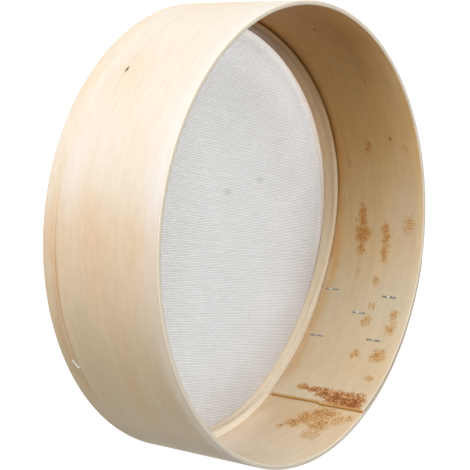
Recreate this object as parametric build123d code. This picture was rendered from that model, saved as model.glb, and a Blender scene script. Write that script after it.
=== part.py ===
"""A tamis: a drum sieve for flour, sugar and purees.

One wood strip is bent round into the drum wall and stapled where its ends lap. A narrower
strip, bent round inside the base of the wall, is the inner hoop. It stretches a disc of fine
wire cloth over its lower edge and traps the turned-up margin of the cloth against the wall.

The drum stands on its lower rim with its axis along +Z, and the origin is the middle of that
rim. The cloth lies just above the origin and the drum is open at the top. Angles are measured
about the axis from +X. Lengths are in millimetres.
"""
import os
from math import atan2, cos, degrees, hypot, radians, sin

from build123d import *

# Drum wall: one bent strip
drum_diameter = 300.0
drum_height = 90.0
wall_thickness = 3.0
rim_softening = 0.45

# Lap joint of the wall strip, where one end is glued inside the other
lap_end_angle = -147.2
lap_length = 128.0
lap_end_step = 2.0
lap_jog_height = 53.0
lap_jog = 1.3
feather_step = 0.3
feather_length = 60.0
lap_seat_gap = 0.4

# Wire cloth, with its margin turned up between the hoop and the wall
cloth_thickness = 0.5
cloth_recess = 0.25
cloth_margin = 7.0
cloth_fold_radius = 0.4
fit_clearance = 0.1

# Inner hoop: a narrower bent strip
hoop_height = 8.75
hoop_thickness = 5.0
hoop_top_rounding = 1.4
hoop_scarf_angle = 104.0
hoop_scarf_gap = 0.4
hoop_scarf_slant = 50.0

# Wave of the hoop, which stretches the cloth along with it. Its heights are those of the waves
# that go once, twice and three times round the drum, each with the angle of one crest. The base
# of the hoop follows only a share of the wave of its top.
wave_heights = [1.8, 2.5, 2.1]
wave_crest_angles = [-16.5, -55.8, -66.1]
base_wave_share = 0.75
wave_tolerance = 0.002

# Staple wire, and the slots that it makes
wire_width = 1.0
wire_thickness = 0.6
staple_seat = 0.03
slot_clearance = 0.05
slot_overrun = 1.0

# Lap staples: driven from outside, with the points clenched on the inner face.
# Each place is a share of the lap from its inner end, and a share of the way from the low
# row to the high row.
lap_crown = 11.2
lap_point_gap = 1.3
lap_point_chisel = 0.5
low_row_margin = 2.6
high_row_margin = 14.4
lap_staple_shares = [(0.766, 0.0), (0.76, 1.0), (0.644, 0.56), (0.466, 0.0), (0.486, 0.97)]

# Hoop staples: driven from outside through the wall and the cloth into the hoop
hoop_staple_count = 3
hoop_staple_angle = 123.0
hoop_crown = 6.6
hoop_leg_bite = 2.6
hoop_leg_chisel = 0.8
hoop_staple_tilt = -59.0
hoop_staple_rise_share = 0.63


def polar(radius, angle):
    """The point at this radius and angle about the drum's axis."""
    return Vector(radius * cos(radians(angle)), radius * sin(radians(angle)))


def wave_lift(x, y):
    """How far the full wave lifts a point. Inside its edge it spans like a soap film."""
    share = hypot(x, y) / hoop_outer
    angle = degrees(atan2(y, x))
    lifts = []
    for index, height in enumerate(wave_heights):
        turns = index + 1
        phase = radians(turns * (angle - wave_crest_angles[index]))
        lifts.append(height * share**turns * cos(phase))
    return sum(lifts)


def wave_at(angle):
    """How far the full wave lifts the hoop at this angle."""
    place = polar(hoop_outer, angle)
    return wave_lift(place.X, place.Y)


# Sizes that follow
wall_outer = drum_diameter / 2
wall_inner = wall_outer - wall_thickness
cloth_outer = wall_inner - fit_clearance
cloth_inner = cloth_outer - cloth_thickness
hoop_outer = cloth_inner - fit_clearance
hoop_inner = hoop_outer - hoop_thickness
wave_trough = min(wave_at(angle) for angle in range(360))
hoop_base = cloth_recess + cloth_thickness - base_wave_share * wave_trough
hoop_top = hoop_base + hoop_height
lap_angle = degrees(lap_length / wall_inner)
jog_angle = degrees(lap_jog / wall_inner)
feather_angle = degrees(feather_length / wall_outer)
margin_at_lap = hoop_base + base_wave_share * wave_at(lap_end_angle + lap_angle) + cloth_margin
lap_base = margin_at_lap - cloth_thickness + lap_seat_gap
low_row = lap_base + low_row_margin + lap_crown / 2
high_row = drum_height - high_row_margin - lap_crown / 2
slot_width = wire_width + 2 * slot_clearance
slot_thickness = wire_thickness + 2 * slot_clearance


def stepped_disc(radius, step, step_angle, ramp_angle):
    """A disc whose edge drops by a step at one angle and ramps back to full radius."""
    full = polar(radius, step_angle)
    cut = polar(radius - step, step_angle)
    ramp_middle = polar(radius - step / 2, step_angle + ramp_angle / 2)
    ramp_end = polar(radius, step_angle + ramp_angle)
    far_side = polar(radius, step_angle + ramp_angle / 2 + 180)
    outline = [
        Line(full, cut),
        ThreePointArc(cut, ramp_middle, ramp_end),
        ThreePointArc(ramp_end, far_side, full),
    ]
    return make_face(outline)


def prism(face, low, high):
    """The face pushed up from one height to another."""
    return Pos(0, 0, low) * extrude(face, high - low)


def ring(inner, outer, low, high):
    """A plain ring about the drum's axis."""
    return prism(Circle(outer), low, high) - prism(Circle(inner), low, high)


def waved_slab(level, wave_share, thickness):
    """A wide slab, from a waved surface up or down by a thickness.

    A wave with so many turns is a polynomial in x and y of that degree, so one more point than
    that each way carries it exactly.
    """
    degree = len(wave_heights)
    lines = [wall_inner * (2 * index / degree - 1) for index in range(degree + 1)]
    rows = [[Vector(x, y, level + wave_share * wave_lift(x, y)) for y in lines] for x in lines]
    surface = Face.make_surface_from_array_of_points(
        rows, tol=wave_tolerance, min_deg=degree, max_deg=degree
    )
    return extrude(surface, thickness, dir=(0, 0, 1))


def rims(band):
    """The four edges that run right round a band, from the lowest to the highest."""
    return band.edges().sort_by(SortBy.LENGTH)[-4:].sort_by(Axis.Z)


def on_wall(shape, angle, height, tilt=0):
    """Move a shape built at radius along +X to its place on the wall."""
    return Rot(0, 0, angle) * Pos(0, 0, height) * Rot(tilt, 0, 0) * shape


def bent_wire(points):
    """A flat wire bent to an outline of (radius, height) points."""
    corners = [Vector(radius, 0, height) for radius, height in points]
    outline = make_face(Polyline(*corners, close=True))
    return extrude(outline, wire_width / 2, both=True)


def round_bends(wire, edge_count):
    """Round the outermost corners of a bent wire."""
    corners = wire.edges().filter_by(Axis.Y).sort_by(Axis.X)[-edge_count:]
    return fillet(corners, wire_thickness * 0.8)


def leg_slots(crown, low_radius, high_radius):
    """The two slots that a staple's legs make."""
    leg_offset = (crown - wire_thickness) / 2
    length = high_radius - low_radius
    slot = Box(length, slot_width, slot_thickness)
    middle = (low_radius + high_radius) / 2
    return Pos(middle, 0, leg_offset) * slot + Pos(middle, 0, -leg_offset) * slot


def lap_surface(share_from_end):
    """Radius of the wall's inner face, this share of the lap from its inner end."""
    return wall_inner - lap_end_step * (1 - share_from_end)


def lap_staple(inner_face):
    """A staple whose points are clenched toward each other on the inner face."""
    half = lap_crown / 2
    seat = inner_face - staple_seat
    crown_top = wall_outer + staple_seat + wire_thickness
    crown_bottom = wall_outer + staple_seat
    point = lap_point_gap / 2
    upper = [
        (crown_bottom, half - wire_thickness),
        (seat, half - wire_thickness),
        (seat, point),
        (seat - wire_thickness, point + lap_point_chisel),
        (seat - wire_thickness, half),
        (crown_top, half),
    ]
    lower = [(radius, -height) for radius, height in reversed(upper)]
    return round_bends(bent_wire(upper + lower), 2)


def hoop_staple():
    """A staple with straight, chisel-pointed legs."""
    half = hoop_crown / 2
    crown_bottom = wall_outer + staple_seat
    crown_top = crown_bottom + wire_thickness
    leg_end = hoop_outer - hoop_leg_bite
    upper = [
        (crown_bottom, half - wire_thickness),
        (leg_end + hoop_leg_chisel, half - wire_thickness),
        (leg_end, half),
        (crown_top, half),
    ]
    lower = [(radius, -height) for radius, height in reversed(upper)]
    return round_bends(bent_wire(upper + lower), 2)


def lap_places():
    """Share of the lap, angle and height of each lap staple."""
    places = []
    for share, row_share in lap_staple_shares:
        angle = lap_end_angle + share * lap_angle
        height = low_row + row_share * (high_row - low_row)
        places.append((share, angle, height))
    return places


def hoop_places():
    """Angle and height of each hoop staple, spaced evenly round the drum."""
    places = []
    for index in range(hoop_staple_count):
        angle = hoop_staple_angle + index * 360 / hoop_staple_count
        low = hoop_base + base_wave_share * wave_at(angle)
        high = hoop_top + wave_at(angle)
        places.append((angle, low + hoop_staple_rise_share * (high - low)))
    return places


def hoop_staple_slots():
    """Every slot of the hoop staples, from outside the wall to past their points."""
    low = hoop_outer - hoop_leg_bite - slot_clearance
    slots = leg_slots(hoop_crown, low, wall_outer + slot_overrun)
    return [on_wall(slots, angle, height, hoop_staple_tilt) for angle, height in hoop_places()]


def lap_layer(end_angle, low, high):
    """The strip's inner end, thickening along the lap, with its back set into the wall."""
    length_angle = lap_end_angle + lap_angle - end_angle
    start_angle = end_angle + length_angle
    middle_angle = end_angle + length_angle / 2
    back = wall_inner + rim_softening
    outline = [
        Line(polar(back, end_angle), polar(wall_inner - lap_end_step, end_angle)),
        ThreePointArc(
            polar(wall_inner - lap_end_step, end_angle),
            polar(wall_inner - lap_end_step / 2, middle_angle),
            polar(wall_inner, start_angle),
        ),
        Line(polar(wall_inner, start_angle), polar(back, start_angle)),
        ThreePointArc(
            polar(back, start_angle),
            polar(back, middle_angle),
            polar(back, end_angle),
        ),
    ]
    return prism(make_face(outline), low, high)


def make_drum_wall():
    """The bent strip: its inner face steps at the lap's end, with a jog in that end."""
    wall = ring(wall_inner, wall_outer, 0, drum_height)
    wall = fillet(wall.edges().filter_by(GeomType.CIRCLE), rim_softening)
    wall += lap_layer(lap_end_angle, lap_base, lap_jog_height)
    wall += lap_layer(lap_end_angle - jog_angle, lap_jog_height, drum_height)
    outer_end_angle = lap_end_angle + lap_angle
    outside = stepped_disc(wall_outer, feather_step, outer_end_angle, feather_angle)
    wall &= prism(outside, 0, drum_height)
    for share, angle, height in lap_places():
        low = lap_surface(share) - slot_overrun
        slots = leg_slots(lap_crown, low, wall_outer + slot_overrun)
        wall -= on_wall(slots, angle, height)
    for slots in hoop_staple_slots():
        wall -= slots
    return wall


def make_wire_cloth():
    """The stretched disc and its turned-up margin, as one thin closed form."""
    cloth = prism(Circle(cloth_outer), 0, drum_height)
    cloth &= waved_slab(hoop_base - cloth_thickness, base_wave_share, cloth_margin)
    well = prism(Circle(cloth_inner), 0, drum_height)
    cloth -= well & waved_slab(hoop_base, base_wave_share, drum_height)
    cloth = fillet(rims(cloth)[0], cloth_fold_radius)
    for slots in hoop_staple_slots():
        cloth -= slots
    return cloth


def make_inner_hoop():
    """The waved strip inside the base of the wall, open at its scarf joint."""
    hoop = ring(hoop_inner, hoop_outer, 0, drum_height)
    hoop &= waved_slab(hoop_base, base_wave_share, drum_height)
    hoop &= waved_slab(hoop_top, 1, -drum_height)
    hoop = fillet(rims(hoop)[-2:], hoop_top_rounding)
    slit_length = 2 * (hoop_thickness + slot_overrun) / cos(radians(hoop_scarf_slant))
    slit = Box(slit_length, hoop_scarf_gap, 2 * hoop_top)
    middle = (hoop_inner + hoop_outer) / 2
    slit = Pos(middle, 0, 0) * Rot(0, 0, hoop_scarf_slant) * slit
    hoop -= on_wall(slit, hoop_scarf_angle, (hoop_base + hoop_top) / 2)
    for slots in hoop_staple_slots():
        hoop -= slots
    return hoop


def make_lap_staples():
    """The staples that hold the lap of the wall strip."""
    return [
        on_wall(lap_staple(lap_surface(share)), angle, height)
        for share, angle, height in lap_places()
    ]


def make_hoop_staples():
    """The staples that hold the hoop and the cloth in the wall."""
    return [
        on_wall(hoop_staple(), angle, height, hoop_staple_tilt)
        for angle, height in hoop_places()
    ]


os.makedirs("parts", exist_ok=True)
nodes = {
    "drum_wall": make_drum_wall(),
    "inner_hoop": make_inner_hoop(),
    "wire_cloth": make_wire_cloth(),
    "lap_staples": Compound(children=make_lap_staples()),
    "hoop_staples": Compound(children=make_hoop_staples()),
}
for name, shape in nodes.items():
    export_step(shape, f"parts/{name}.step")
    print(name, "volume", round(shape.volume, 1), "solids", len(shape.solids()))
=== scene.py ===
# %% [markdown]
# # A tamis, the baker's drum sieve
#
# A thin wood strip is bent round into a drum and stapled where its ends lap. A second, narrower
# strip sits inside the base like an embroidery hoop and stretches a disc of wire cloth. This
# notebook dresses the exact solids of that sieve. The staples keep their solids and only get a
# finish. The two strips and the cloth are built again in the same places, with what the solids
# leave out: a direction for the grain, the glue line in the lap and the single wires.

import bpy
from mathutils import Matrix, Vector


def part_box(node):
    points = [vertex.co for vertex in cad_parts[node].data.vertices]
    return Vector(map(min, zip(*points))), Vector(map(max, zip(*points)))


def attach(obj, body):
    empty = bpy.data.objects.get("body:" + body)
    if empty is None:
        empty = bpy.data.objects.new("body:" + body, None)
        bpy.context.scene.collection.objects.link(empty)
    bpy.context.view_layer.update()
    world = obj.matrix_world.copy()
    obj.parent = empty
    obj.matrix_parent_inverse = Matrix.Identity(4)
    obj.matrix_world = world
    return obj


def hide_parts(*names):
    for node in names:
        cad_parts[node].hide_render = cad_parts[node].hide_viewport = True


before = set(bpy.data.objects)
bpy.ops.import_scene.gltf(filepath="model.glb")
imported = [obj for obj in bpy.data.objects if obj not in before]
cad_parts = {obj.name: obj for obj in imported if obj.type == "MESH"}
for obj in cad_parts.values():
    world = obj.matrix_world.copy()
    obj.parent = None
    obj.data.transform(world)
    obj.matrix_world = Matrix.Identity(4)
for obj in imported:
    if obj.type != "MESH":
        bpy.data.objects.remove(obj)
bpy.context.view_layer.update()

# %% [markdown]
# ## Sizes
#
# Everything that the solids already say is read from them, so that the dressing always fits. The
# few sizes that a box can't give, such as the thickness of a strip, are named where they are first
# needed. All lengths are in metres, written as a number of millimetres. Angles are degrees round
# the drum.

# %% Sizes read from the solids
from math import atan2, cos, degrees, pi, radians, sin, sqrt, tan
from random import Random

import bpy
from mathutils import Matrix, Vector

MM = 0.001
wall_low, wall_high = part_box("drum_wall")
hoop_low, hoop_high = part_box("inner_hoop")
cloth_low, cloth_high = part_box("wire_cloth")
wall_outer = wall_high.x
wall_height = wall_high.z
hoop_outer = hoop_high.x
cloth_edge = cloth_high.x
print(f"drum {wall_outer * 2:.4f} wide and {wall_height:.4f} high, hoop {hoop_outer * 2:.4f} wide")

# %% Sizes of the strips
wall_thickness = 3.0 * MM
wall_inner = wall_outer - wall_thickness
hoop_thickness = 5.0 * MM
hoop_inner = hoop_outer - hoop_thickness
print(f"room inside the wall {wall_inner * 2:.4f} wide, inside the hoop {hoop_inner * 2:.4f}")

# %% [markdown]
# ## Camera
#
# The photograph looks at the drum lying on its side, from a little under a metre away and 37
# degrees above the plane of the cloth. Here the drum stands on its rim, so the camera is rolled by
# a quarter turn instead. It is placed by a point to look at, two angles, a distance and a roll,
# because each of these can be nudged alone while the picture is compared with the photograph.

# %% Camera at the photograph's viewing angle
# The lens is in millimetres, as lenses are named.
camera_aim = Vector((-2.1, 19.9, 45.0)) * MM
camera_azimuth = 85.56
camera_elevation = 36.93
camera_distance = 893.7 * MM
camera_roll = 95.76
camera_lens = 105.27
camera_near_limit = 50.0 * MM


def direction(azimuth, elevation):
    """The unit vector that points this way from the drum."""
    flat = cos(radians(elevation))
    turn = radians(azimuth)
    return Vector((flat * cos(turn), flat * sin(turn), sin(radians(elevation))))


def make_camera():
    """The camera, aimed and rolled."""
    data = bpy.data.cameras.new("photo_camera")
    data.lens = camera_lens
    data.clip_start = camera_near_limit
    camera = bpy.data.objects.new("photo_camera", data)
    bpy.context.scene.collection.objects.link(camera)
    towards = direction(camera_azimuth, camera_elevation)
    aimed = (-towards).to_track_quat("-Z", "Y").to_matrix()
    rolled = aimed @ Matrix.Rotation(radians(camera_roll), 3, "Z")
    standpoint = camera_aim + towards * camera_distance
    camera.matrix_world = Matrix.Translation(standpoint) @ rolled.to_4x4()
    bpy.context.scene.camera = camera
    return camera


camera = make_camera()
print("camera at", tuple(round(x, 4) for x in camera.location))

# %% [markdown]
# ## Floor and light
#
# The drum was photographed in a white studio, lit softly from above. As it stands here on its rim,
# what was above it lies on its +X side. The key lamp on that side lights the outside of the wall
# and the far part of the inside, and four weaker lamps fill the shade. Lighting the drum with the
# white surroundings themselves would be simpler, but it would wash out the wood. So floor and
# surroundings look white only to rays that come from the camera or off the metal, and the wood
# gets its light from the lamps, at a plain level.

# %% Shader helpers
def connect(tree, socket, value):
    """Join a socket to another socket, or give it a plain value."""
    if isinstance(value, bpy.types.NodeSocket):
        tree.links.new(value, socket)
    else:
        socket.default_value = value


def put(tree, kind, inputs=None, **settings):
    """Add one shader node, with its inputs by name or number."""
    made = tree.nodes.new("ShaderNode" + kind)
    for name, value in settings.items():
        setattr(made, name, value)
    for key, value in (inputs or {}).items():
        connect(tree, made.inputs[key], value)
    return made


def calc(tree, operation, *values):
    """One calculation with numbers, as a socket."""
    return put(tree, "Math", dict(enumerate(values)), operation=operation).outputs[0]


def step(tree, value, low, high):
    """0 below low, 1 above high and a smooth rise between them."""
    inputs = {0: value, 1: low, 2: high}
    return put(tree, "MapRange", inputs, interpolation_type="SMOOTHSTEP").outputs[0]


def tint(tree, share, first, second, way="MIX"):
    """One colour laid over another."""
    inputs = {0: share, 6: first, 7: second}
    return put(tree, "Mix", inputs, data_type="RGBA", blend_type=way).outputs[2]


def seen_directly(tree):
    """1 for a ray from the camera, off a gloss or through glass."""
    path = put(tree, "LightPath").outputs
    camera_or_gloss = calc(tree, "MAXIMUM", path["Is Camera Ray"], path["Is Glossy Ray"])
    return calc(tree, "MAXIMUM", camera_or_gloss, path["Is Transmission Ray"])


# %% Surroundings
white = (1, 1, 1, 1)


def make_surroundings():
    """A world that is white to look at but lights nothing."""
    world = bpy.data.worlds.new("studio")
    world.use_nodes = True
    tree = world.node_tree
    tree.nodes.clear()
    backdrop = put(tree, "Background", {"Color": white, "Strength": seen_directly(tree)})
    put(tree, "OutputWorld", {"Surface": backdrop.outputs[0]})
    bpy.context.scene.world = world
    return world


bpy.context.scene.view_settings.view_transform = "Standard"
print("surroundings:", make_surroundings().name)

# %% Floor
floor_reach = 4.0
floor_drop = 0.2 * MM
floor_corners = ((-1, -1), (1, -1), (1, 1), (-1, 1))
floor_colour = (0.40, 0.40, 0.40, 1)
floor_glow = 0.95


def make_floor():
    """A wide pale floor just under the rim."""
    mesh = bpy.data.meshes.new("floor")
    corners = [(x * floor_reach, y * floor_reach, -floor_drop) for x, y in floor_corners]
    mesh.from_pydata(corners, [], [(0, 1, 2, 3)])
    floor = bpy.data.objects.new("floor", mesh)
    bpy.context.scene.collection.objects.link(floor)
    material = bpy.data.materials.new("pale floor")
    material.use_nodes = True
    tree = material.node_tree
    tree.nodes.clear()
    matt = put(tree, "BsdfDiffuse", {"Color": floor_colour})
    glow_strength = calc(tree, "MULTIPLY", seen_directly(tree), floor_glow)
    glow = put(tree, "Emission", {"Color": white, "Strength": glow_strength})
    both = put(tree, "AddShader", {0: matt.outputs[0], 1: glow.outputs[0]})
    put(tree, "OutputMaterial", {"Surface": both.outputs[0]})
    mesh.materials.append(material)
    return floor


floor = make_floor()
print("floor", floor_reach * 2, "wide, its top at", -floor_drop)

# %% Lamps
# Each lamp: name, azimuth, elevation, distance, width and height in metres, and power in watts.
lamps = [
    ("key_lamp", 45.0, 10.0, 1.6, 1.0, 1.0, 29.5),
    ("top_lamp", 0.0, 40.0, 1.6, 1.0, 1.0, 5.5),
    ("over_lamp", 0.0, 85.0, 1.6, 1.0, 1.0, 10.0),
    ("front_lamp", 60.0, 35.0, 1.6, 1.0, 1.0, 2.0),
    ("low_lamp", 140.0, 1.5, 1.6, 1.2, 0.12, 6.5),
]


def make_lamp(name, azimuth, elevation, distance, width, height, power):
    """A soft lamp that faces the drum."""
    data = bpy.data.lights.new(name, "AREA")
    data.shape = "RECTANGLE"
    data.size = width
    data.size_y = height
    data.energy = power
    lamp = bpy.data.objects.new(name, data)
    bpy.context.scene.collection.objects.link(lamp)
    towards = direction(azimuth, elevation)
    centre = Vector((0, 0, wall_height / 2))
    lamp.location = centre + towards * distance
    lamp.rotation_euler = (-towards).to_track_quat("-Z", "Y").to_euler()
    return lamp


for lamp_words in lamps:
    print("lamp", make_lamp(*lamp_words).name)

# %% [markdown]
# ## Bending a strip
#
# The wall and the hoop are both flat strips bent round. The clearest way to model such a strip is
# to bend it too: a cross-section is placed at one station after another round the drum, and
# neighbouring stations are joined with faces. Each corner of the mesh also remembers where it lies
# on the flat strip, as length along it, radius and height, and the wood grain is painted in those
# coordinates. The grain then follows the bend, as it does in real bentwood, and the two
# layers of the lap don't share one pattern.

# %% A strip swept round the drum
# Faces that meet at more than this angle keep a sharp edge between them.
sharp_angle = 38.0


def length_along(angle):
    """How far along the flat strip this angle lies."""
    return wall_outer * radians(angle)


def bend_strip(name, angles, section, marks=()):
    """A closed strip. section(angle) gives its points as (angle, radius, height, marks), up the
    inner side and down the outer side, as many on each."""
    rings = [section(angle) for angle in angles]
    count = len(rings[0])
    corners, places = [], []
    for ring in rings:
        for angle, radius, height, _ in ring:
            corners.append((radius * cos(radians(angle)), radius * sin(radians(angle)), height))
            places += [length_along(angle), radius, height]
    faces = []
    for one in range(len(rings) - 1):
        for two in range(count):
            after = (two + 1) % count
            low, high = one * count, (one + 1) * count
            faces.append((low + two, low + after, high + after, high + two))
    last = (len(rings) - 1) * count
    for two in range(count // 2 - 1):
        first_end = (two, count - 1 - two, count - 2 - two, two + 1)
        faces.append(first_end)
        faces.append(tuple(last + point for point in reversed(first_end)))
    mesh = bpy.data.meshes.new(name)
    mesh.from_pydata(corners, [], faces)
    mesh.attributes.new("place", "FLOAT_VECTOR", "POINT").data.foreach_set("vector", places)
    for index, mark in enumerate(marks):
        values = [point[3][index] for ring in rings for point in ring]
        mesh.attributes.new(mark, "FLOAT", "POINT").data.foreach_set("value", values)
    mesh.shade_smooth()
    mesh.set_sharp_from_angle(angle=radians(sharp_angle))
    mesh.validate()
    strip = bpy.data.objects.new(name, mesh)
    bpy.context.scene.collection.objects.link(strip)
    print(name, "has", len(mesh.vertices), "points and", len(mesh.polygons), "faces")
    return strip


# %% [markdown]
# ## The drum wall
#
# The wall is one strip, 3 mm thick and 90 mm wide. Its inner end stops with a blunt 2 mm step,
# shifted a little from the middle of the strip on, and its outer end is planed thin so that the
# outside stays smooth. Between the two ends the strip lies double over 128 mm, so the rim shows
# two layers there with a glue line between them. The strip is built from end to end, like the
# real one, which gives that glue line as a true gap.

# %% Sizes of the lap
# The strip starts at the first of these angles, and the lap reaches to the second.
lap_length = 128.0 * MM
lap_end_angle = -147.2
lap_stop_angle = lap_end_angle + degrees(lap_length / wall_inner)
# The step of the inner end, and the jog in it from this height on, which fades along the lap.
lap_step = 2.0 * MM
lap_jog_height = 53.0 * MM
lap_jog_angle = degrees(1.3 * MM / wall_inner)
lap_jog_fade = 6.0
# Below this height the step is cut away, to leave room for the cloth's margin and the hoop.
lap_base = 11.8 * MM
# The outer end is planed down to this, and the wall below it recovers over this angle.
feather_step = 0.3 * MM
feather_angle = degrees(60.0 * MM / wall_outer)
glue_gap = 0.03 * MM
print(f"the lap runs from {lap_end_angle:.1f} to {lap_stop_angle:.1f} degrees")

# %% Heights of the wall's points
edge_softening = 0.45 * MM
corner_steps = 3
face_rows = 16
row_gap_at_step = 0.1 * MM


def between(value, low, high):
    """The share of the way from low to high, kept within 0 and 1."""
    return min(max((value - low) / (high - low), 0.0), 1.0)


def round_corner(steps):
    """Points round a corner of radius 1: how far each has risen, and how far it still lies back."""
    turns = [pi / 2 * step_number / steps for step_number in range(steps)]
    return [(1 - cos(turn), 1 - sin(turn)) for turn in turns]


def face_heights():
    """Heights of the points up one side of the wall, closer together where the lap's end steps."""
    low, high = edge_softening, wall_height - edge_softening
    even = [low + (high - low) * row / face_rows for row in range(face_rows + 1)]
    steps = [lap_base - row_gap_at_step, lap_base, lap_jog_height - row_gap_at_step, lap_jog_height]
    return sorted(even + steps)


def wall_profile():
    """Height and setback of the points up one side of the wall, with both edges rounded."""
    turns = round_corner(corner_steps)
    corner = [(edge_softening * rise, edge_softening * back) for rise, back in turns]
    face = [(height, 0.0) for height in face_heights()]
    return corner + face + [(wall_height - rise, back) for rise, back in reversed(corner)]


# %% Cross-section of the wall
def joint_radius(share):
    """Radius of the slanting joint between the layers of the lap, at a share of the way along."""
    return wall_inner + (wall_thickness - feather_step) * share


def wall_radii(angle, height):
    """Inner and outer radius of the strip at a station and height."""
    in_lap = between(angle, lap_end_angle, lap_stop_angle)
    if in_lap < 1:
        outer = joint_radius(in_lap) - glue_gap
        if height < lap_base:
            return min(wall_inner, outer - glue_gap), outer
        return wall_inner - lap_step * (1 - in_lap), outer
    feathered = between(angle, lap_stop_angle, lap_stop_angle + feather_angle)
    outer = wall_outer - feather_step * (1 - feathered)
    over_lap = between(angle - 360, lap_end_angle, lap_stop_angle)
    inner = joint_radius(over_lap) + glue_gap if over_lap > 0 else wall_inner
    return inner, outer


def wall_section(angle):
    """One cross-section of the wall, up the inside and down the outside. Its marks are 1 on the
    glued faces and 1 on the strip's cut end."""
    jog = -lap_jog_angle * max(0.0, 1 - (angle - lap_end_angle) / lap_jog_fade)
    in_lap = angle < lap_stop_angle
    over_lap = angle > lap_end_angle + 360
    end = 1.0 if angle == lap_end_angle else 0.0

    def point(height, setback, outer_side):
        shift = jog if height >= lap_jog_height else 0.0
        inner, outer = wall_radii(angle, height)
        setback = min(setback, (outer - inner) / 3)
        radius = outer - setback if outer_side else inner + setback
        glued = in_lap if outer_side else over_lap
        return (angle + shift, radius, height, (1.0 if glued else 0.0, end))

    inside = [point(height, setback, False) for height, setback in wall_profile()]
    outside = [point(height, setback, True) for height, setback in wall_profile()]
    return inside + outside[::-1]


# %% Build the wall
wall_station = 1.0


def stations(start, stop, spacing):
    """Evenly spaced angles, with both ends."""
    count = round((stop - start) / spacing)
    return [start + (stop - start) * index / count for index in range(count)] + [stop]


wall_stops = (lap_end_angle, lap_stop_angle, lap_end_angle + 360, lap_stop_angle + 360)
wall_angles = set()
for stretch in zip(wall_stops, wall_stops[1:]):
    wall_angles.update(stations(*stretch, wall_station))
wall = bend_strip("drum_wall_strip", sorted(wall_angles), wall_section, marks=("glue", "end"))
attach(wall, "root")
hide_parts("drum_wall")

# %% [markdown]
# ## The inner hoop
#
# The hoop is a strip 5 mm thick and about 9 mm wide, sprung into the base of the wall. It isn't
# glued flat, so it waves: in the photograph its top edge climbs and falls by several millimetres
# on its way round. A wave that closes on itself is a sum of cosines, and three of them follow the
# real one. The base of the strip waves a little less than its top. The same sum is used again for
# the cloth, which takes its edge from the hoop. The levels come from the solid's box: it reaches
# from the lowest trough of the base to the highest crest of the top.
#
# The hoop doesn't press on the wall equally all round. At the bottom of the photograph no slit
# shows between the two, so there its outer edge is sharper and its top leans out to the wall.

# %% The hoop's wave
# Each wave: its height in millimetres, the angle of a crest, and how often it goes up and down.
hoop_waves = [(1.8, -16.5, 1), (2.5, -55.8, 2), (2.1, -66.1, 3)]
base_wave_share = 0.75


def hoop_wave(angle, share=1.0):
    """How far the hoop's top is lifted here, or the film inside it at a share of its radius."""
    lifts = [
        height * MM * share**turns * cos(turns * radians(angle - crest))
        for height, crest, turns in hoop_waves
    ]
    return sum(lifts)


around = [hoop_wave(angle) for angle in range(360)]
base_level = hoop_low.z - base_wave_share * min(around)
top_level = hoop_high.z - max(around)
print(f"hoop base at {base_level:.5f} and top at {top_level:.5f}")
print(f"its top waves from {min(around):.4f} to {max(around):.4f}")


# %% Cross-section of the hoop
# The strip's ends meet in a slanting scarf, out of the picture's sight.
hoop_scarf_angle = 104.0
hoop_scarf_gap = degrees(0.4 * MM / hoop_outer)
hoop_scarf_slant = 50.0
hoop_rounding = 1.4 * MM
hoop_sharp_rounding = 0.3 * MM
hoop_base_rounding = 0.3 * MM
hoop_top_steps = 2 * corner_steps
# Shares of the hoop's height that have a row of points.
hoop_face_rows = (0.3, 0.6)
# Angles from none to full: where the sharp edge and the lean set in, and then where each ends.
snug_start = (120, 150)
snug_end = (275, 240)
lean_end = (256, 240)
hoop_lean = wall_inner - hoop_outer - 0.05 * MM


def hoop_section(angle):
    """One cross-section of the hoop, with rounded edges. Its mark is the share of its height."""
    middle = (hoop_inner + hoop_outer) / 2
    base = base_level + base_wave_share * hoop_wave(angle)
    height = top_level + hoop_wave(angle) - base
    snug = between(angle, *snug_start) * between(angle, *snug_end)
    outer_rounding = hoop_rounding + (hoop_sharp_rounding - hoop_rounding) * snug
    lean = hoop_lean * between(angle, *snug_start) * between(angle, *lean_end)

    def point(rise, setback, outer_side):
        radius = hoop_outer - setback if outer_side else hoop_inner + setback
        shift = degrees((radius - middle) * tan(radians(hoop_scarf_slant)) / middle)
        return (angle + shift, radius, base + rise, (rise / height,))

    turns = round_corner(corner_steps)
    foot = [(hoop_base_rounding * rise, hoop_base_rounding * back) for rise, back in turns]
    rows = [hoop_base_rounding, *(height * share for share in hoop_face_rows), height - hoop_rounding]
    face = [(rise, 0.0) for rise in rows]
    top = round_corner(hoop_top_steps)[::-1]
    inner_top = [(height - hoop_rounding * drop, hoop_rounding * back) for drop, back in top]
    outer_top = [(height - outer_rounding * drop, outer_rounding * back - lean) for drop, back in top]
    inside = [point(rise, setback, False) for rise, setback in foot + face + inner_top]
    outside = [point(rise, setback, True) for rise, setback in foot + face + outer_top]
    return inside + outside[::-1]


# %% Build the hoop
hoop_station = 1.5
hoop_start = hoop_scarf_angle + hoop_scarf_gap / 2
hoop_angles = stations(hoop_start, hoop_start + 360 - hoop_scarf_gap, hoop_station)
hoop = bend_strip("inner_hoop_strip", hoop_angles, hoop_section, marks=("share_up",))
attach(hoop, "root")
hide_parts("inner_hoop")

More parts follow.
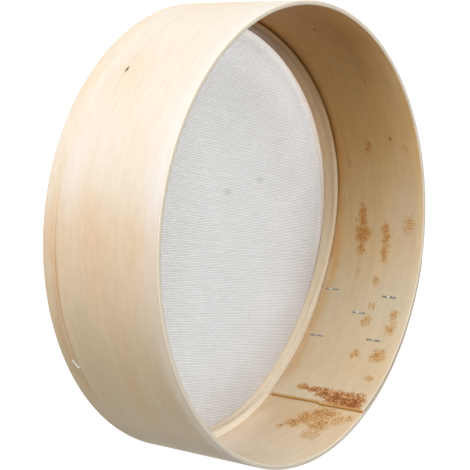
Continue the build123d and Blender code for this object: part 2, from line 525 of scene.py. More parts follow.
# %% [markdown]
# ## The wire cloth
#
# The cloth is woven from bright steel wire. A picture of a weave on a flat disc would show no
# sparkle and no light through it, and some 530 wires are few enough to model one by one: each is a
# thin four-sided bar across the disc, turned up at both ends between the hoop and the wall. The
# real wire is finer and closer, finer than the picture can show. Flat wires 0.72 mm wide and
# 1.1 mm apart cover the disc as well as it does, so the cloth is as bright and as dense from afar.
# Both sets lie almost in one plane, as woven wires do, so together they stay half a millimetre
# thick. No two gaps are quite the same, because a perfectly even weave would beat with the pixels
# of a picture and show stripes that aren't there.
#
# Stretched cloth over a waving edge takes the shape of a soap film. For an edge made of cosines
# that shape is known: each wave fades towards the middle as the radius, raised to its number of
# turns.

# %% Sizes of the cloth
cloth_thickness = 0.5 * MM
wire_pitch = 1.1 * MM
wire_half_width = 0.36 * MM
wire_half_height = 0.13 * MM
wire_unevenness = 0.06 * MM
weave_angle = -4.0
wire_station = 6.0 * MM
fold_radius = cloth_edge - wire_half_width
cloth_level = base_level - cloth_thickness / 2
layer_lift = cloth_thickness / 2 - wire_half_height
margin_rise = 6.2 * MM
cloth_border = 2.0 * MM
# Corners of a wire's cross-section, in half widths across and half heights up.
wire_corners = ((1, 0), (0, 1), (-1, 0), (0, -1))


def cloth_height(x, y):
    """Height of the stretched cloth at a point of the disc."""
    reach = sqrt(x * x + y * y) / hoop_outer
    return cloth_level + base_wave_share * hoop_wave(degrees(atan2(y, x)), reach)


# %% One wire, and a whole set of parallel wires
def wire_path(offset, turn, layer):
    """The points of one wire: up out of its fold, across the disc and up again."""
    half = sqrt(fold_radius**2 - offset**2)
    count = max(2, round(2 * half / wire_station))
    points = []
    for index in range(count + 1):
        run = -half + 2 * half * index / count
        x = run * cos(turn) - offset * sin(turn)
        y = run * sin(turn) + offset * cos(turn)
        points.append(Vector((x, y, cloth_height(x, y) + layer)))
    first, last = points[0], points[-1]
    up = Vector((0, 0, margin_rise))
    return [first + up] + points + [last + up]


def make_wires(name, turn, layer):
    """All the wires that run one way, as one mesh."""
    corners, faces = [], []
    reach = int((fold_radius - cloth_border) / wire_pitch)
    sides = len(wire_corners)
    chance = Random(name)
    for index in range(-reach, reach + 1):
        offset = index * wire_pitch + chance.uniform(-wire_unevenness, wire_unevenness)
        path = wire_path(offset, turn, layer)
        for number, point in enumerate(path):
            before, after = path[max(number - 1, 0)], path[min(number + 1, len(path) - 1)]
            along = (after - before).normalized()
            side = Vector((-sin(turn), cos(turn), 0))
            over = along.cross(side).normalized()
            start = len(corners)
            for across, rise in wire_corners:
                corners.append(point + side * across * wire_half_width + over * rise * wire_half_height)
            if number:
                last = start - sides
                for one in range(sides):
                    two = (one + 1) % sides
                    faces.append((last + one, last + two, start + two, start + one))
        first = start - sides * (len(path) - 1)
        faces.append(tuple(range(start, start + sides)))
        faces.append(tuple(reversed(range(first, first + sides))))
    mesh = bpy.data.meshes.new(name)
    mesh.from_pydata(corners, [], faces)
    wires = bpy.data.objects.new(name, mesh)
    bpy.context.scene.collection.objects.link(wires)
    print(name, "has", 2 * reach + 1, "wires and", len(mesh.polygons), "faces")
    return wires


# %% Build the cloth
warp = make_wires("cloth_warp_wires", radians(weave_angle), layer_lift)
weft = make_wires("cloth_weft_wires", radians(weave_angle + 90), -layer_lift)
for wires in (warp, weft):
    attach(wires, "root")
    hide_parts("wire_cloth")

# %% [markdown]
# ## Wood
#
# Both strips are pale planed hardwood. What the eye reads as wood is three things at different
# scales: broad soft bands where the growth rings were cut, fine lines along the strip, and short
# dark flecks. Each is a noise pattern stretched along the strip. They are built once, as a shader
# group, because the wall and the hoop share them with other values.

# %% Node group helpers
def start_group(name, inputs, outputs):
    """A shader node group with these named sockets, and its inner ends."""
    tree = bpy.data.node_groups.new(name, "ShaderNodeTree")
    for label, kind, value in inputs:
        socket = tree.interface.new_socket(label, in_out="INPUT", socket_type="NodeSocket" + kind)
        socket.default_value = value
    for label, kind in outputs:
        tree.interface.new_socket(label, in_out="OUTPUT", socket_type="NodeSocket" + kind)
    given = tree.nodes.new("NodeGroupInput").outputs
    return tree, given, tree.nodes.new("NodeGroupOutput").inputs


def use_group(tree, group, inputs):
    """Place a group in a material, with its own values."""
    made = tree.nodes.new("ShaderNodeGroup")
    made.node_tree = group
    for key, value in inputs.items():
        connect(tree, made.inputs[key], value)
    return made.outputs


def start_material(name):
    """A material, its node tree and its Principled shader."""
    material = bpy.data.materials.new(name)
    material.use_nodes = True
    tree = material.node_tree
    return material, tree, tree.nodes["Principled BSDF"]


def dress(pieces, material):
    """Give the pieces their finish, and say how many shader nodes it takes."""
    for piece in pieces:
        piece.data.materials.append(material)
    print(material.name, "has", len(material.node_tree.nodes), "shader nodes")


# %% Grain of bent wood
# Each pattern has its scale along, into and across the strip, in patches to the metre, and the
# values of the noise between which it sets in.
band_scale = (4, 30, 26)
band_range = (0.30, 0.72)
mottle_scale = (90, 200, 300)
mottle_range = (0.35, 0.65)
mottle_tint = (0.965, 0.955, 0.935, 1)
line_scale = (6, 160, 420)
line_range = (0.42, 0.75)
line_tint = (0.42, 0.27, 0.13, 1)
fleck_scale = (130, 900, 3200)
fleck_range = (0.66, 0.74)
fleck_colour = (0.45, 0.27, 0.14, 1)
fleck_depth = 0.5


def stretched_noise(tree, place, stretch, detail):
    """A noise pattern with its own scale along, into and across the strip."""
    moved = put(tree, "VectorMath", {0: place, 1: stretch}, operation="MULTIPLY").outputs[0]
    return put(tree, "TexNoise", {"Vector": moved, "Scale": 1.0, "Detail": detail}).outputs[0]


def make_grain_group():
    """Colour and relief of planed wood with its grain along the strip."""
    inputs = [
        ("Place", "Vector", (0, 0, 0)),
        ("Pale", "Color", (0.8, 0.65, 0.45, 1)),
        ("Warm", "Color", (0.7, 0.5, 0.3, 1)),
        ("Bands", "Float", 0.5),
        ("Lines", "Float", 0.2),
        ("Flecks", "Float", 0.2),
    ]
    outputs = [("Color", "Color"), ("Height", "Float")]
    tree, given, result = start_group("bent_wood_grain", inputs, outputs)
    place = given["Place"]
    bands = step(tree, stretched_noise(tree, place, band_scale, 3.0), *band_range)
    mottle = step(tree, stretched_noise(tree, place, mottle_scale, 3.0), *mottle_range)
    fine = stretched_noise(tree, place, line_scale, 3.0)
    lines = step(tree, fine, *line_range)
    flecks = step(tree, stretched_noise(tree, place, fleck_scale, 1.0), *fleck_range)
    colour = tint(tree, calc(tree, "MULTIPLY", bands, given["Bands"]), given["Pale"], given["Warm"])
    colour = tint(tree, mottle, colour, mottle_tint, "MULTIPLY")
    colour = tint(tree, calc(tree, "MULTIPLY", lines, given["Lines"]), colour, line_tint, "MULTIPLY")
    colour = tint(tree, calc(tree, "MULTIPLY", flecks, given["Flecks"]), colour, fleck_colour)
    connect(tree, result["Color"], colour)
    pits = calc(tree, "MULTIPLY", flecks, fleck_depth)
    connect(tree, result["Height"], calc(tree, "SUBTRACT", fine, pits))
    return tree


grain_group = make_grain_group()
print("grain group has", len(grain_group.nodes), "nodes")

# %% [markdown]
# ## Spots on the strip
#
# No strip of wood has one colour. This one has long soft streaks along both faces, and it also
# carries painted light: it is painted paler where the photograph is brightest, a painted
# highlight, and browner inside at the top, painted shade. Each such place is a soft oval spot
# with a colour that multiplies the wood below it. A slow wobble bends the outlines, so that none
# looks drawn. Each face has its own list, so a streak on one doesn't show on the other.

# %% A soft spot on the strip
# A spot is full as far as this share of its half size, and gone at the other.
spot_core = 0.1
spot_end = 1.5
any_depth = 1.0


def make_spot_group():
    """How much of a soft oval spot lies at this place."""
    inputs = [
        ("Place", "Vector", (0, 0, 0)),
        ("Middle", "Vector", (0, 0, 0)),
        ("Half Size", "Vector", (5 * MM, any_depth, 5 * MM)),
        ("Strength", "Float", 1.0),
    ]
    tree, given, result = start_group("soft_spot", inputs, [("Amount", "Float")])
    from_middle = {0: given["Place"], 1: given["Middle"]}
    away = put(tree, "VectorMath", from_middle, operation="SUBTRACT").outputs[0]
    away = put(tree, "VectorMath", {0: away, 1: given["Half Size"]}, operation="DIVIDE").outputs[0]
    far = put(tree, "VectorMath", {0: away}, operation="LENGTH").outputs["Value"]
    amount = calc(tree, "MULTIPLY", step(tree, far, spot_end, spot_core), given["Strength"])
    connect(tree, result["Amount"], amount)
    return tree


spot_group = make_spot_group()
print("spot group has", len(spot_group.nodes), "nodes")


# %% Laying spots and slow changes on the strip
def spot(tree, place, words):
    """One soft spot. Its words are angle, height, half length, half height and strength."""
    angle, height, half_along, half_height, strength = words
    middle = (length_along(angle), wall_inner, height * MM)
    half = (half_along * MM, any_depth, half_height * MM)
    inputs = {"Place": place, "Middle": middle, "Half Size": half, "Strength": strength}
    return use_group(tree, spot_group, inputs)[0]


def lay_tints(tree, colour, place, face, tints):
    """Multiply the wood of one face by the colour of each spot."""
    for words, tint_colour in tints:
        amount = calc(tree, "MULTIPLY", spot(tree, place, words), face)
        colour = tint(tree, amount, colour, (*tint_colour, 1), "MULTIPLY")
    return colour


def along_strip(tree, angle, stops, shade=(1.0, 1.0, 1.0)):
    """A colour that changes slowly round the drum from stop to stop, all in this shade."""
    angles = [stop for stop, _ in stops]
    colours = [(*(part * by for part, by in zip(plain, shade)), 1) for _, plain in stops]
    colour = colours[0]
    for last, stop, next_colour in zip(angles, angles[1:], colours[1:]):
        colour = tint(tree, step(tree, angle, last, stop), colour, next_colour)
    return colour


def wobble(tree, place, scale, size):
    """The place, moved to and fro along the wood by a slow noise."""
    noise = put(tree, "TexNoise", {"Vector": place, "Scale": scale, "Detail": 2.0}).outputs[1]
    shift = put(tree, "VectorMath", {0: noise, 1: (0.5, 0.5, 0.5)}, operation="SUBTRACT").outputs[0]
    shift = put(tree, "VectorMath", {0: shift, 1: (size, 0, size)}, operation="MULTIPLY").outputs[0]
    return put(tree, "VectorMath", {0: place, 1: shift}, operation="ADD").outputs[0]


# %% Tints of the wall
# Each tint: angle and height of its middle, half its length and half its height in millimetres,
# its strength and its colour.
outer_tints = [
    # Peach streaks beside the cloth end.
    ((20, 2, 40, 6.0, 0.8), (1.0, 0.94, 0.85)),
    ((40, 5, 45, 7.0, 0.8), (0.98, 0.90, 0.80)),
    ((56, 7, 26, 6.0, 0.8), (1.0, 0.94, 0.86)),
    ((82, 7.5, 40, 4.0, 0.8), (0.99, 0.92, 0.82)),
    ((104, 8.5, 36, 3.6, 0.9), (0.92, 0.84, 0.76)),
    ((118, 9, 40, 4.0, 0.6), (0.95, 0.90, 0.86)),
    ((124, 8.5, 30, 3.0, 0.6), (0.92, 0.80, 0.66)),
    # Warm streaks across the middle.
    ((46, 46, 50, 9.0, 0.7), (1.0, 0.955, 0.90)),
    ((50, 30, 22, 13.0, 0.7), (1.0, 0.92, 0.82)),
    ((57, 42, 26, 8.0, 0.7), (0.98, 0.95, 0.90)),
    ((84, 35, 22, 9.0, 0.6), (1.0, 0.93, 0.85)),
    ((96, 40, 40, 9.0, 0.7), (1.0, 0.93, 0.86)),
    ((112, 54, 45, 8.0, 0.8), (0.96, 0.91, 0.86)),
    ((133, 52, 30, 6.0, 0.8), (1.0, 0.93, 0.80)),
    # Paler places, most of them towards the open rim. The last, at 138 degrees, is painted light:
    # the brightness of the lit rim face, painted onto the top of the wall.
    ((30, 76, 44, 10.0, 0.8), (1.0, 1.05, 1.12)),
    ((68, 80, 60, 10.0, 0.9), (1.02, 1.06, 1.16)),
    ((76, 20, 30, 7.0, 0.8), (1.06, 1.06, 1.18)),
    ((90, 82, 36, 8.0, 0.9), (1.04, 1.08, 1.17)),
    ((110, 78, 40, 8.0, 0.7), (1.04, 1.08, 1.20)),
    ((112, 88, 40, 7.0, 0.8), (1.03, 1.08, 1.18)),
    ((113, 74, 26, 6.0, 0.6), (0.97, 1.0, 1.05)),
    ((138, 88, 62, 7.0, 1.0), (1.22, 1.28, 1.42)),
    # Slightly darker places.
    ((13, 28, 24, 30.0, 0.9), (1.0, 0.95, 0.86)),
    ((118, 28, 50, 12.0, 0.7), (0.92, 0.93, 0.90)),
    ((145, 70, 40, 10.0, 0.5), (0.96, 0.98, 0.98)),
    ((151, 45, 22, 40.0, 0.8), (0.90, 0.91, 0.92)),
]
# Marks too sharp to wander with the rest: a thin line of painted shade through the staple, the
# shade of the slight bulge where the hoop presses the wall out from inside, and the knot.
outer_marks = [
    ((108, 10.6, 72, 0.7, 0.9), (0.82, 0.66, 0.48)),
    ((49.3, 28.3, 5, 4.0, 0.35), (1.0, 0.88, 0.72)),
    ((49.3, 28.3, 2.2, 0.85, 1.6), (0.13, 0.09, 0.05)),
]
inner_tints = [
    # Warm streaks just above the hoop, partly painted warm shade where the wall meets the hoop.
    ((-138, 12, 16, 7.0, 0.7), (0.95, 0.82, 0.70)),
    ((-130, 13, 22, 5.0, 0.9), (0.93, 0.78, 0.64)),
    ((-129, 21, 10, 3.0, 0.5), (0.97, 0.86, 0.76)),
    ((-116, 15, 26, 4.5, 0.9), (0.95, 0.78, 0.60)),
    ((-101, 18, 28, 4.0, 0.9), (0.98, 0.80, 0.58)),
    ((-75, 19, 70, 5.0, 0.8), (0.98, 0.80, 0.55)),
    ((-38, 19, 40, 5.0, 0.6), (0.82, 0.76, 0.70)),
    # Darker places higher up.
    ((-100, 34, 60, 18.0, 0.5), (1.0, 0.96, 0.86)),
    ((-86, 50, 70, 4.0, 0.4), (0.95, 0.95, 0.95)),
    ((-60, 33, 90, 9.0, 0.4), (1.0, 0.94, 0.86)),
    ((-48, 62, 60, 5.0, 0.5), (0.95, 0.93, 0.92)),
    ((-42, 28, 40, 20.0, 0.8), (0.93, 0.94, 0.91)),
    ((199, 84, 30, 7.0, 0.6), (0.97, 0.93, 0.88)),
    ((207, 52, 15, 24.0, 0.8), (0.95, 0.87, 0.76)),
    # Small dark knots and flecks.
    ((-70, 27, 6, 1.2, 0.7), (0.75, 0.65, 0.55)),
    ((-63.4, 66.7, 1.6, 0.8, 1.3), (0.35, 0.24, 0.16)),
    ((-44, 60, 7, 1.0, 0.7), (0.75, 0.65, 0.55)),
    ((-20.7, 49, 2.2, 0.9, 1.2), (0.45, 0.35, 0.28)),
    # Paler places, mostly painted light: painted light near the bottom of the inside beside the lap,
    # where light falls in, and a painted sheen towards the open rim.
    ((-130, 9.5, 22, 4.0, 0.9), (1.08, 1.10, 1.17)),
    ((-95, 80, 90, 16.0, 0.7), (0.97, 1.02, 1.15)),
    ((-78, 76, 50, 12.0, 0.8), (1.0, 1.02, 1.12)),
    ((-58, 79, 24, 10.0, 0.7), (1.03, 1.05, 1.16)),
    ((-50, 64, 22, 10.0, 0.8), (1.10, 1.10, 1.10)),
    ((-50, 75, 46, 12.0, 0.9), (1.15, 1.17, 1.26)),
    ((-33, 86, 46, 15.0, 1.0), (1.28, 1.42, 1.82)),
    ((-32, 74, 14, 9.0, 0.8), (1.12, 1.10, 1.10)),
    ((-12, 80, 30, 16.0, 1.0), (1.17, 1.28, 1.50)),
    ((180, 36, 14, 14.0, 0.8), (1.09, 1.10, 1.14)),
    ((184, 26, 36, 26.0, 0.8), (1.07, 1.08, 1.12)),
    ((186, 18, 42, 12.0, 0.9), (1.22, 1.23, 1.30)),
    ((200, 9.5, 14, 4.0, 0.9), (1.06, 1.06, 1.10)),
    ((202, 17, 14, 10.0, 0.8), (1.13, 1.18, 1.31)),
]

# %% Colours round the drum, with painted light and shade
# From stop to stop: angle and colour. The strip is longer than one turn, so beyond the seam its
# angles count on past 180.
# Outside: the wood's colour with a painted highlight, paler and greyer on the lit side up to 75
# degrees, and painted shade, darker towards 156 degrees.
outer_stops_with_painted_light = [
    (40, (0.73, 0.675, 0.60)),
    (75, (0.80, 0.72, 0.62)),
    (93, (0.76, 0.61, 0.445)),
    (122, (0.735, 0.595, 0.40)),
    (142, (0.76, 0.62, 0.43)),
    (156, (0.65, 0.55, 0.40)),
]
# Inside: the wood's colour with painted shade, browner and more orange towards the top at -15 degrees,
# and painted light, paler past 180 degrees at the bottom, where light falls in.
inner_stops_with_painted_shade = [
    (-150, (0.72, 0.63, 0.48)),
    (-132, (0.70, 0.58, 0.39)),
    (-112, (0.70, 0.60, 0.42)),
    (-92, (0.745, 0.575, 0.34)),
    (-55, (0.80, 0.52, 0.21)),
    (-15, (0.69, 0.365, 0.10)),
    (180, (0.756, 0.66, 0.516)),
    (212, (0.73, 0.595, 0.41)),
]
# Painted shade: the inside of the drum and the hoop take this share of their stops' colours, the
# same faint warm shade.
inside_painted_shade = (0.965, 0.94, 0.92)
print(len(outer_tints + outer_marks), "tints outside and", len(inner_tints), "inside")

# %% [markdown]
# ## Glue stains
#
# The inside of the drum carries dried, speckled glue: a strong reddish band beside the step of
# the lap, a golden patch on its other side and lighter dabs higher up. A stain is made of the same
# soft spots, but here a spot lowers the threshold of a speckle pattern. It is dense in its middle
# and breaks up into dots at its edge, over a thin golden wash.

# %% Places of the stains
# Each spot: angle and height of its middle, half its length along the strip and half its height
# in millimetres, and its strength. First the dabs, scattered over the far side.
glue_spots = [
    (-142.4, 32.5, 3.6, 4.5, 1.0),
    (-85.4, 38.3, 6.0, 3.5, 0.8),
    (-88.5, 37.8, 6.0, 4.5, 0.75),
    (-91.6, 39.2, 7.5, 7.5, 0.8),
    (-95.6, 38.6, 6.5, 3.5, 0.6),
    (-89.8, 59.0, 5.0, 4.0, 0.7),
    (-92.3, 59.4, 6.0, 4.0, 0.75),
    (-97.0, 59.5, 8.5, 4.0, 0.65),
    (-88.0, 78.2, 9.0, 5.5, 0.45),
    (-65.7, 46.0, 8.0, 3.5, 0.45),
    (-65.7, 78.2, 5.0, 4.0, 0.3),
    (-105.0, 56.0, 5.0, 3.5, 0.5),
    (-102.8, 38.0, 3.5, 3.5, 0.3),
    (-112.6, 57.6, 3.5, 3.0, 0.5),
    (-116.8, 56.8, 6.0, 4.5, 0.6),
    (-114.6, 77.8, 5.0, 4.0, 0.6),
    (-118.6, 78.6, 6.5, 4.5, 0.6),
    (-128.2, 57.9, 4.0, 4.0, 0.7),
    (-127.8, 77.0, 6.5, 6.5, 0.65),
    (-135.5, 79.1, 3.5, 4.0, 0.45),
]
# The strong band beside the step of the lap.
seam_spots = [
    (-142.7, 42.0, 3.2, 7.0, 1.0),
    (-143.5, 53.0, 5.2, 8.0, 1.15),
    (-144.6, 63.0, 8.0, 8.0, 1.35),
    (-145.2, 72.0, 9.6, 8.0, 1.3),
    (-145.2, 80.5, 9.6, 6.5, 1.3),
]
# The golden patch on the other side of the step.
gold_spots = [
    (200.9, 39.0, 3.5, 3.5, 0.8),
    (203.2, 45.5, 6.0, 7.0, 0.8),
    (206.4, 52.0, 8.0, 8.0, 0.85),
    (208.8, 60.0, 8.0, 8.0, 0.85),
    (209.6, 68.0, 6.0, 7.0, 0.7),
    (204.2, 66.0, 9.0, 9.0, 0.7),
    (207.6, 76.0, 7.5, 7.0, 0.55),
    (199.0, 67.0, 9.0, 8.0, 0.45),
    (209.2, 83.0, 5.0, 4.0, 0.4),
]


# %% Laying a stain
# Each stain: its spots, how fine its curls are, and the colours of its wash and of its curls.
stains = [
    (glue_spots, 620, (0.97, 0.78, 0.50, 1), (0.68, 0.40, 0.14, 1)),
    (gold_spots, 450, (0.98, 0.85, 0.62, 1), (0.64, 0.40, 0.15, 1)),
    (seam_spots, 520, (0.91, 0.64, 0.36, 1), (0.44, 0.21, 0.07, 1)),
]
stain_density = 0.85
wash_full_at = 0.8
curl_width = 0.13
curl_softness = (-0.05, 0.30)
curls_full_at = 0.25


def strongest_spot(tree, place, spots):
    """The strongest of many spots at each place."""
    strongest = 0.0
    for words in spots:
        strongest = calc(tree, "MAXIMUM", spot(tree, place, words), strongest)
    return strongest


def curled_lines(tree, place, fineness):
    """Thin curled lines, where a noise passes through its middle value."""
    noise = stretched_noise(tree, place, (fineness, fineness, fineness), 2.0)
    from_middle = calc(tree, "ABSOLUTE", calc(tree, "SUBTRACT", noise, 0.5))
    return step(tree, from_middle, curl_width, 0.0)


def lay_stain(tree, colour, place, face, speckle, spots, wash, dark):
    """A golden wash, and curls of dried glue wherever the speckle is stronger than the clean wood."""
    amount = calc(tree, "MULTIPLY", strongest_spot(tree, place, spots), face)
    threshold = calc(tree, "SUBTRACT", 1.0, calc(tree, "MULTIPLY", amount, stain_density))
    curls = step(tree, calc(tree, "SUBTRACT", speckle, threshold), *curl_softness)
    curls = calc(tree, "MULTIPLY", curls, step(tree, amount, 0.0, curls_full_at))
    colour = tint(tree, step(tree, amount, 0.0, wash_full_at), colour, wash, "MULTIPLY")
    return tint(tree, curls, colour, dark, "MULTIPLY")


print("spots in each stain:", [len(spots) for spots, *_ in stains])

# %% [markdown]
# ## Finish of the drum wall
#
# Inside and outside differ. The outside is painted paler towards the top of the photograph, a
# painted highlight, and carries a peach streak just above the cloth end, one tiny dark knot and a
# thin line of painted shade at the hoop. The inside is a little more yellow, carries painted shade
# towards its top and painted light towards its bottom and open rim, and has the stains. The cut
# ends and the glue line show where the strip is glued to itself.

# %% Reading the strip's coordinates
grain_relief = 0.04 * MM


def read_place(tree):
    """The place on the strip, and then its angle round the drum, its radius and its height."""
    place = put(tree, "Attribute", attribute_name="place").outputs["Vector"]
    along, radius, up = put(tree, "SeparateXYZ", {0: place}).outputs
    return place, calc(tree, "MULTIPLY", along, degrees(1 / wall_outer)), radius, up


def read_mark(tree, mark):
    """A mark that the strip carries, such as its glued faces."""
    return put(tree, "Attribute", attribute_name=mark).outputs["Fac"]


def raise_grain(tree, shader, height, strength):
    """Let the grain stand up a little from the surface."""
    inputs = {"Height": height, "Distance": grain_relief, "Strength": strength}
    connect(tree, shader.inputs["Normal"], put(tree, "Bump", inputs).outputs[0])


# %% Material of the wall
# Each pair: where a colour sets in and where it is full, first through the strip, then up it.
outside_skin = (wall_inner + 0.8 * MM, wall_outer - 0.6 * MM)
pale_band = (77 * MM, 89 * MM)
pale_band_tint = (1.0, 1.06, 1.17, 1)
rim_skin = (wall_height - 0.6 * MM, wall_height - 0.2 * MM)
rim_dark = (0.78, 0.68, 0.54, 1)
rim_pale = (0.88, 0.79, 0.65, 1)
cut_end_colour = (0.58, 0.33, 0.10, 1)
glue_line = (0.85, 1.0)
glue_line_colour = (0.55, 0.42, 0.27, 1)
# Scale and size of the wobbles, in bends to the metre and in metres.
streak_wobble = (30.0, 12 * MM)
stain_wobble = (220.0, 8 * MM)


def make_wall_wood():
    """Planed pale wood with streaks, a knot, stains and glue, and painted light and shade."""
    material, tree, shader = start_material("drum_wood")
    place, angle, radius, up = read_place(tree)
    outside = step(tree, radius, *outside_skin)
    inside = calc(tree, "SUBTRACT", 1.0, outside)
    inner_wood_and_shade = along_strip(tree, angle, inner_stops_with_painted_shade, inside_painted_shade)
    pale = tint(tree, outside, inner_wood_and_shade, along_strip(tree, angle, outer_stops_with_painted_light))
    near_rim = calc(tree, "MULTIPLY", outside, step(tree, up, *pale_band))
    pale = tint(tree, near_rim, pale, pale_band_tint, "MULTIPLY")
    inputs = {
        "Place": place,
        "Pale": pale,
        "Warm": tint(tree, 1.0, pale, (0.95, 0.87, 0.76, 1), "MULTIPLY"),
        "Bands": 0.6,
        "Lines": 0.06,
        "Flecks": 0.10,
    }
    grain = use_group(tree, grain_group, inputs)
    drifted = wobble(tree, place, *streak_wobble)
    colour = lay_tints(tree, grain["Color"], drifted, outside, outer_tints)
    colour = lay_tints(tree, colour, place, outside, outer_marks)
    colour = lay_tints(tree, colour, drifted, inside, inner_tints)
    ragged = wobble(tree, place, *stain_wobble)
    for spots, fineness, wash, dark in stains:
        speckle = curled_lines(tree, place, fineness)
        colour = lay_stain(tree, colour, ragged, inside, speckle, spots, wash, dark)
    rim_wood = tint(tree, grain["Height"], rim_dark, rim_pale)
    colour = tint(tree, step(tree, up, *rim_skin), colour, rim_wood)
    colour = tint(tree, read_mark(tree, "end"), colour, cut_end_colour)
    glue = step(tree, read_mark(tree, "glue"), *glue_line)
    colour = tint(tree, glue, colour, glue_line_colour)
    connect(tree, shader.inputs["Base Color"], colour)
    roughness = calc(tree, "MULTIPLY_ADD", grain["Height"], 0.2, 0.5)
    connect(tree, shader.inputs["Roughness"], roughness)
    raise_grain(tree, shader, grain["Height"], 0.3)
    return material


dress([wall], make_wall_wood())

# %% [markdown]
# ## Finish of the hoop
#
# The hoop is the same wood, tan on its inner face, with painted shade that makes it darker the
# further round it lies in the drum's own shade, and painted light and shade on its top. On the
# upper part of the far side a dark crease runs between it and the wall.
# The slit there is narrower than a pixel, and a true one would come and go along its length, so
# the hoop's outer edge is painted as dark as the slit looks. It is as pale as the rest at the
# bottom, where the hoop and the wall lie tight together.

# %% Colours of the hoop
# The hoop's strip starts at its scarf, so its angles on the far side run from 180 to 360. Each
# list runs from stop to stop: the inner face, the top and the crease. All three carry painted
# shade where the drum's shade falls, and the top also carries painted light where light
# reaches it.
hoop_stops_with_painted_shade = [
    (215, (0.98, 0.91, 0.78)),
    (262, (0.99, 0.91, 0.73)),
    (285, (0.99, 0.84, 0.60)),
    (298, (0.96, 0.76, 0.50)),
    (314, (0.80, 0.62, 0.40)),
    (336, (0.45, 0.33, 0.22)),
]
hoop_top_stops_with_painted_light = [
    (200, (0.94, 0.91, 0.84)),
    (250, (0.99, 0.93, 0.80)),
    (285, (1.0, 0.93, 0.74)),
    (300, (0.86, 0.67, 0.44)),
    (315, (0.57, 0.40, 0.22)),
    (345, (0.60, 0.44, 0.27)),
]
crease_stops = [
    (243, (0.97, 0.90, 0.78)),
    (264, (0.72, 0.52, 0.32)),
    (287, (0.12, 0.06, 0.025)),
    (334, (0.12, 0.07, 0.035)),
    (348, (0.45, 0.32, 0.18)),
]


# %% Material of the hoop
# Each pair: where a colour sets in and where it is full, first through the strip, then up it.
hoop_top_edge = (hoop_inner + 0.2 * MM, hoop_inner + 2.2 * MM)
hoop_crease = (hoop_outer - 1.1 * MM, hoop_outer - 0.5 * MM)
hoop_low_part = (0.95, 0.5)
# Painted shade on the upper part of the hoop's inner face, painted light on its lower part.
hoop_upper_painted_shade = (0.85, 0.83, 0.80, 1)
hoop_lower_painted_light = (1.0, 0.97, 0.93, 1)


def make_hoop_wood():
    """The same tan wood, with painted light and shade and a painted dark crease at the wall."""
    material, tree, shader = start_material("hoop_wood")
    place, angle, radius, _ = read_place(tree)
    low_part = step(tree, read_mark(tree, "share_up"), *hoop_low_part)
    shade = tint(tree, low_part, hoop_upper_painted_shade, hoop_lower_painted_light)
    face = along_strip(tree, angle, hoop_stops_with_painted_shade, inside_painted_shade)
    pale = tint(tree, 1.0, face, shade, "MULTIPLY")
    top = step(tree, radius, *hoop_top_edge)
    pale = tint(tree, top, pale, along_strip(tree, angle, hoop_top_stops_with_painted_light))
    inputs = {
        "Place": place,
        "Pale": pale,
        "Warm": tint(tree, 1.0, pale, (0.94, 0.86, 0.76, 1), "MULTIPLY"),
        "Bands": 0.8,
        "Lines": 0.2,
        "Flecks": 0.15,
    }
    grain = use_group(tree, grain_group, inputs)
    crease = step(tree, radius, *hoop_crease)
    colour = tint(tree, crease, grain["Color"], along_strip(tree, angle, crease_stops))
    connect(tree, shader.inputs["Base Color"], colour)
    connect(tree, shader.inputs["Roughness"], 0.55)
    raise_grain(tree, shader, grain["Height"], 0.5)
    return material


dress([hoop], make_hoop_wood())

# %% [markdown]
# ## Metal
#
# The cloth is bright steel wire and the staples are flattened galvanised wire. Both are metal with
# a soft gloss. The weave itself gives the cloth its look. Its material adds what wires alone
# don't: the slight unevenness of drawn wire, two faint smudges from handling, and a slow change of
# tone over the disc. That change is painted light: a painted reflection of the studio surroundings
# that the cloth mirrors, painted light along its edge by the hoop, and painted shade on one part
# of that edge.

# %% Tones of the cloth, with its painted light
cloud_scale = (22, 22, 22)
cloud_range = (0.35, 0.65)
cloud_dark = (0.545, 0.545, 0.542, 1)
cloud_pale = (0.61, 0.61, 0.605, 1)
wire_scale = (1400, 1400, 1400)
wire_range = (0.4, 0.7)
wire_dull = (0.515, 0.515, 0.515, 1)
# Each tone: its colour, and in millimetres where it sets in and where it is full, across the disc
# in x or y, or out from its middle. Where several are given, all of them have to be met.
# All of these tones are painted light: a painted reflection of the surroundings across the disc,
# painted light along its edge by the hoop, and painted shade on one part of that edge.
cloth_painted_light = [
    ((0.85, 0.84, 0.82), {"y": (-10, 80)}),
    ((1.06, 1.06, 1.07), {"y": (-20, -100)}),
    ((1.04, 1.05, 1.06), {"x": (0, -100)}),
    ((1.34, 1.36, 1.39), {"out": (95, 140), "x": (0, 110)}),
    ((0.94, 0.90, 0.88), {"out": (95, 140), "x": (20, -40), "y": (40, -20)}),
    ((1.30, 1.26, 1.22), {"out": (133, 141), "x": (-40, 0)}),
]
smudges = [(23.8, -22.0), (32.6, -58.6)]
smudge_half_size = (2.5 * MM, 4 * MM, any_depth)
smudge_tint = (0.74, 0.74, 0.74, 1)


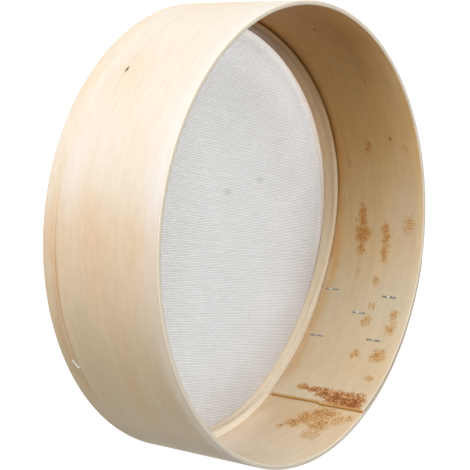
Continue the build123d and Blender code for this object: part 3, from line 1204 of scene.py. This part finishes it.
# %% Material of the cloth
def make_cloth_wire():
    """Bright drawn steel wire, with painted reflection, light and shade over the disc."""
    material, tree, shader = start_material("cloth_wire")
    place = put(tree, "TexCoord").outputs["Object"]
    x, y, _ = put(tree, "SeparateXYZ", {0: place}).outputs
    flat = put(tree, "CombineXYZ", {0: x, 1: y}).outputs[0]
    out = put(tree, "VectorMath", {0: flat}, operation="LENGTH").outputs["Value"]
    ways = {"x": x, "y": y, "out": out}
    clouds = stretched_noise(tree, place, cloud_scale, 3.0)
    fine = stretched_noise(tree, place, wire_scale, 1.0)
    colour = tint(tree, step(tree, clouds, *cloud_range), cloud_dark, cloud_pale)
    colour = tint(tree, step(tree, fine, *wire_range), colour, wire_dull)
    for tone, limits in cloth_painted_light:
        amount = 1.0
        for way, (start, full) in limits.items():
            part = step(tree, ways[way], start * MM, full * MM)
            amount = calc(tree, "MULTIPLY", amount, part)
        colour = tint(tree, amount, colour, (*tone, 1), "MULTIPLY")
    for smudge_x, smudge_y in smudges:
        middle = (smudge_x * MM, smudge_y * MM, 0)
        inputs = {"Place": flat, "Middle": middle, "Half Size": smudge_half_size}
        amount = use_group(tree, spot_group, inputs)[0]
        colour = tint(tree, amount, colour, smudge_tint, "MULTIPLY")
    connect(tree, shader.inputs["Base Color"], colour)
    connect(tree, shader.inputs["Metallic"], 0.9)
    connect(tree, shader.inputs["Roughness"], calc(tree, "MULTIPLY_ADD", clouds, 0.2, 0.42))
    return material


dress([warp, weft], make_cloth_wire())


# %% Material of the staples
patch_scale = (900, 900, 900)
patch_range = (0.4, 0.65)


def make_staple_wire(name, bright, dull):
    """Flattened galvanised wire, dulled in places."""
    material, tree, shader = start_material(name)
    place = put(tree, "TexCoord").outputs["Object"]
    patches = stretched_noise(tree, place, patch_scale, 3.0)
    colour = tint(tree, step(tree, patches, *patch_range), bright, dull)
    connect(tree, shader.inputs["Base Color"], colour)
    connect(tree, shader.inputs["Metallic"], 1.0)
    connect(tree, shader.inputs["Roughness"], calc(tree, "MULTIPLY_ADD", patches, 0.3, 0.2))
    return material


lap_wire = make_staple_wire("dull_staple_wire", (0.45, 0.46, 0.47, 1), (0.19, 0.19, 0.195, 1))
hoop_wire = make_staple_wire("bright_staple_wire", (0.86, 0.88, 0.90, 1), (0.45, 0.46, 0.48, 1))
for name, staple_wire in (("lap_staples", lap_wire), ("hoop_staples", hoop_wire)):
    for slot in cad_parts[name].material_slots:
        slot.material = staple_wire
    print(name, "finished in", staple_wire.name)
